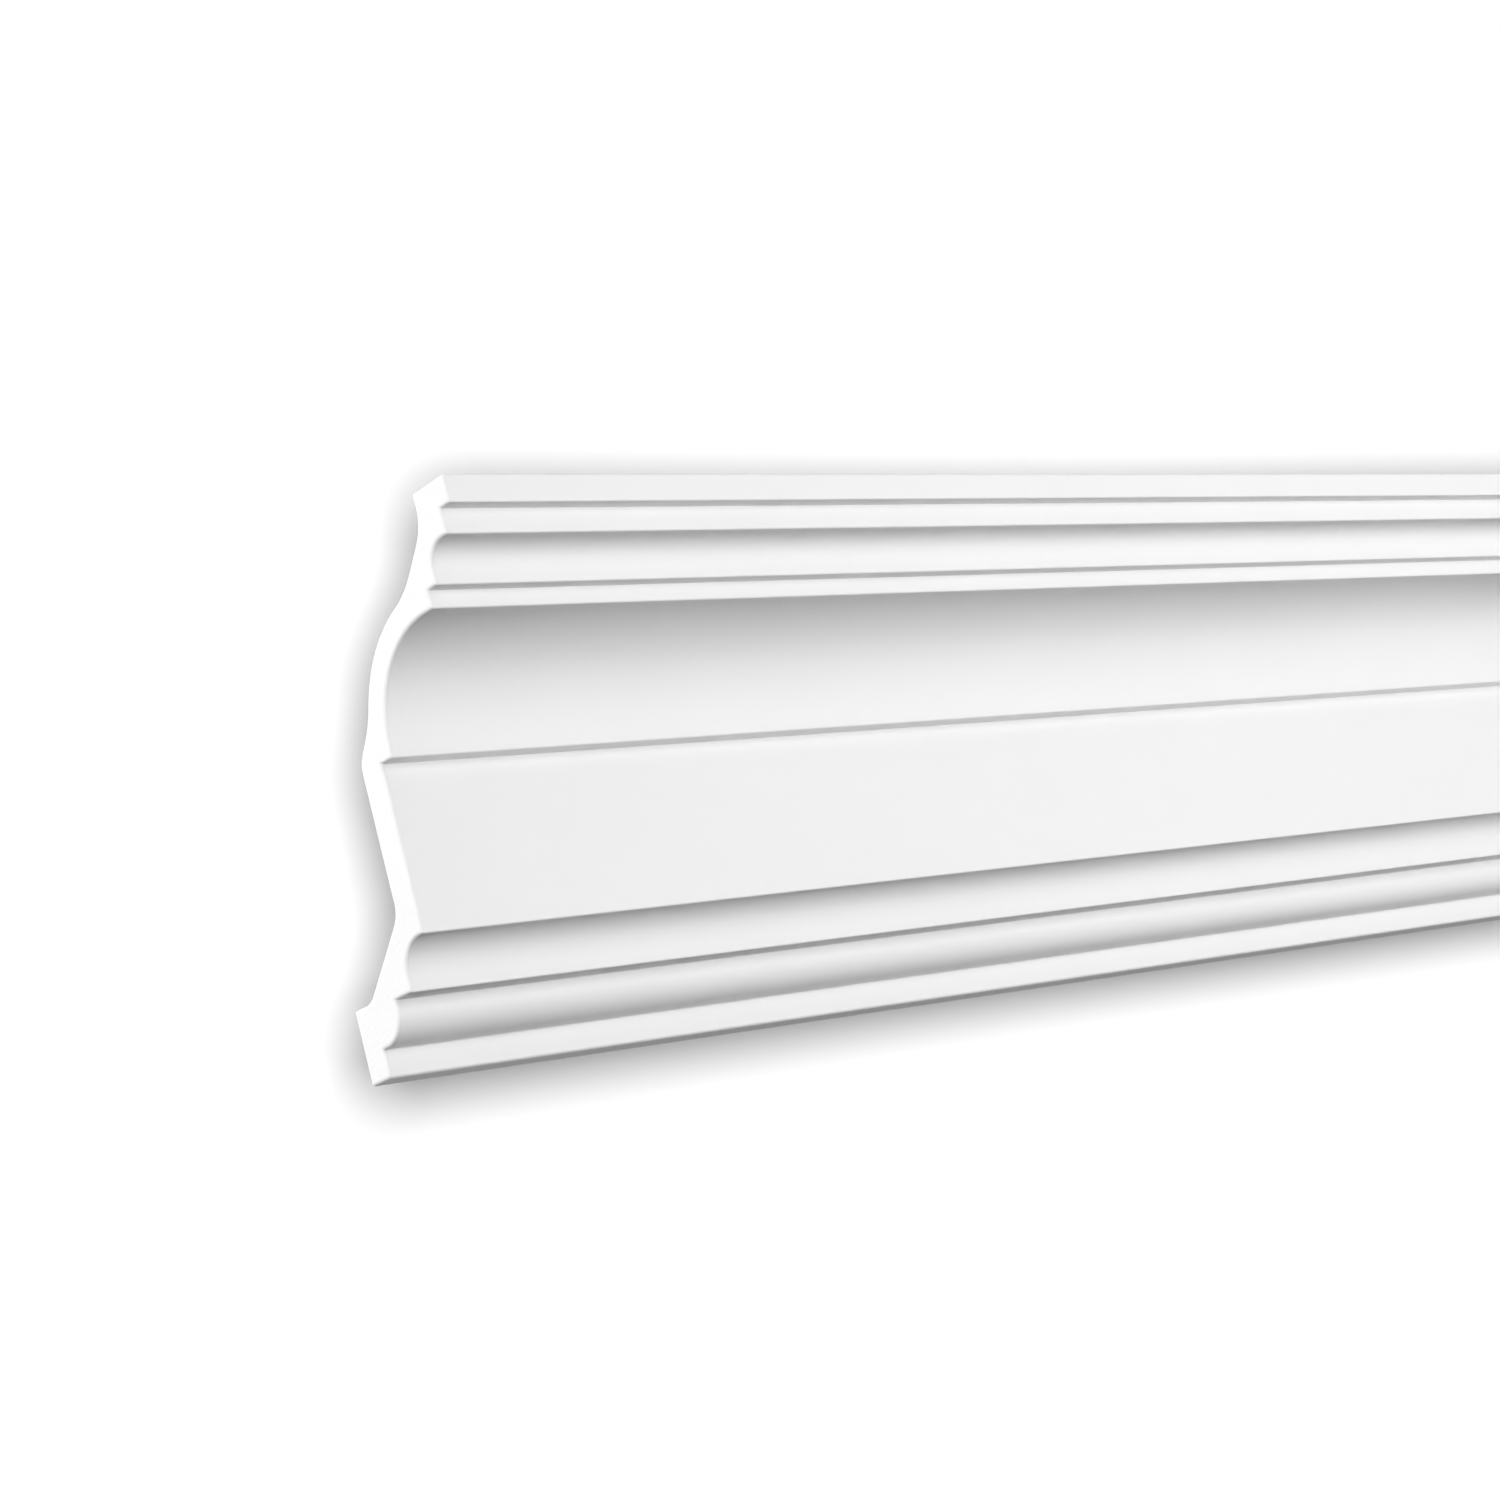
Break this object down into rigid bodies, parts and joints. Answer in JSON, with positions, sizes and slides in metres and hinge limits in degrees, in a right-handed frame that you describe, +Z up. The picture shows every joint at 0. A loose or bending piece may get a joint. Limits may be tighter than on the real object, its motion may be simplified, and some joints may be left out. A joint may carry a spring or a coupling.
{
  "type": "crown moulding length",
  "caption": "Straight length of hollow-backed crown moulding with stepped bands, coves, a tall flat frieze, an ovolo and a solid foot, cut square at both ends.",
  "frame": {"origin": "middle of the flat face of the foot that goes against the wall", "axes": "+X along the length, +Y out of the back into the wall, +Z up to the ceiling; the carved face looks towards -Y"},
  "size_m": [0.65, 0.1178, 0.1758],
  "materials": {
    "primed_foam": "smooth matte white primer on rigid cast foam"
  },
  "bodies": {
    "root": {"crown_moulding": "primed_foam"}
  },
  "joints": []
}
